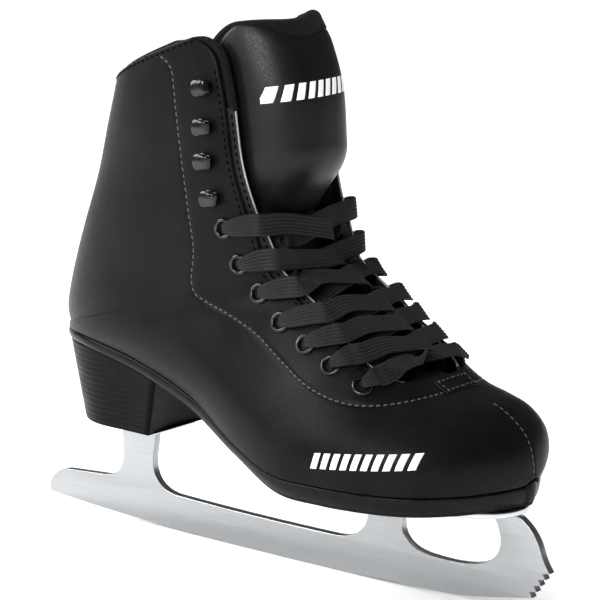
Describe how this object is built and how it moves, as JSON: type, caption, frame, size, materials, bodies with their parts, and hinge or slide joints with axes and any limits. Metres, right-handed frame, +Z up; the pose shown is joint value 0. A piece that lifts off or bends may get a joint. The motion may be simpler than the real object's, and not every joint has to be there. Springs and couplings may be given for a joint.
{
  "type": "figure skate",
  "caption": "Right figure skate: laced padded ankle boot with open hooks above the eyelets, tapered heel, folding tongue and a steel blade with toe picks.",
  "frame": {"origin": "middle of the flat on which the blade rests on the ice, in the blade's own plane", "axes": "+X towards the toe, +Y towards the inner side of the foot (the wearer's left), +Z up"},
  "size_m": [0.2848, 0.0989, 0.2433],
  "materials": {
    "upper_leather": "black satin synthetic leather with a fine grain",
    "edging": "dark grey raw edge of the eyestay reinforcement",
    "padding": "black knitted fabric over foam",
    "lining": "black woven lining",
    "fibreboard": "pressed cellulose board",
    "stiffener": "matt thermoplastic",
    "sole": "black moulded sole, satin",
    "blade_steel": "satin ground steel with polished edges",
    "plate_steel": "nickel plated steel",
    "enamel": "gloss black enamel",
    "lace": "flat black ribbed weave",
    "lace_tip": "gloss black"
  },
  "bodies": {
    "boot": {"quarter_outer": "upper_leather", "facing_outer": "edging", "lining_outer": "lining", "quarter_inner": "upper_leather", "facing_inner": "edging", "lining_inner": "lining", "collar_padding": "padding", "heel_counter": "stiffener", "toe_puff": "stiffener", "throat_tab": "upper_leather", "outsole": "sole", "heel_block": "sole", "shank": "plate_steel", "sole_filler": "fibreboard", "insole_board": "fibreboard", "footbed": "lining", "tongue_face_lower": "upper_leather", "tongue_padding_lower": "padding", "eyelet_outer_1": "enamel", "eyelet_outer_2": "enamel", "eyelet_outer_3": "enamel", "eyelet_outer_4": "enamel", "eyelet_outer_5": "enamel", "eyelet_outer_6": "enamel", "eyelet_outer_7": "enamel", "hook_outer_1": "enamel", "hook_outer_2": "enamel", "hook_outer_3": "enamel", "hook_outer_4": "enamel", "eyelet_inner_1": "enamel", "eyelet_inner_2": "enamel", "eyelet_inner_3": "enamel", "eyelet_inner_4": "enamel", "eyelet_inner_5": "enamel", "eyelet_inner_6": "enamel", "eyelet_inner_7": "enamel", "hook_inner_1": "enamel", "hook_inner_2": "enamel", "hook_inner_3": "enamel", "hook_inner_4": "enamel", "lace": "lace", "aglet_outer": "lace_tip", "aglet_inner": "lace_tip", "blade_runner": "blade_steel", "sole_plate": "plate_steel", "heel_plate": "plate_steel", "sole_screw_1": "plate_steel", "sole_screw_2": "plate_steel", "sole_screw_3": "plate_steel", "sole_screw_4": "plate_steel", "sole_screw_5": "plate_steel", "sole_screw_6": "plate_steel", "heel_screw_1": "plate_steel", "heel_screw_2": "plate_steel", "heel_screw_3": "plate_steel", "heel_screw_4": "plate_steel"},
    "tongue_flap": {"tongue_face_upper": "upper_leather", "tongue_padding_upper": "padding"}
  },
  "joints": [
    {"name": "tongue_fold", "type": "hinge", "parent": "boot", "child": "tongue_flap", "pos_m": [0.0282, 0, 0.1745], "axis": [0, 1, 0], "range_deg": [0, 35]}
  ]
}
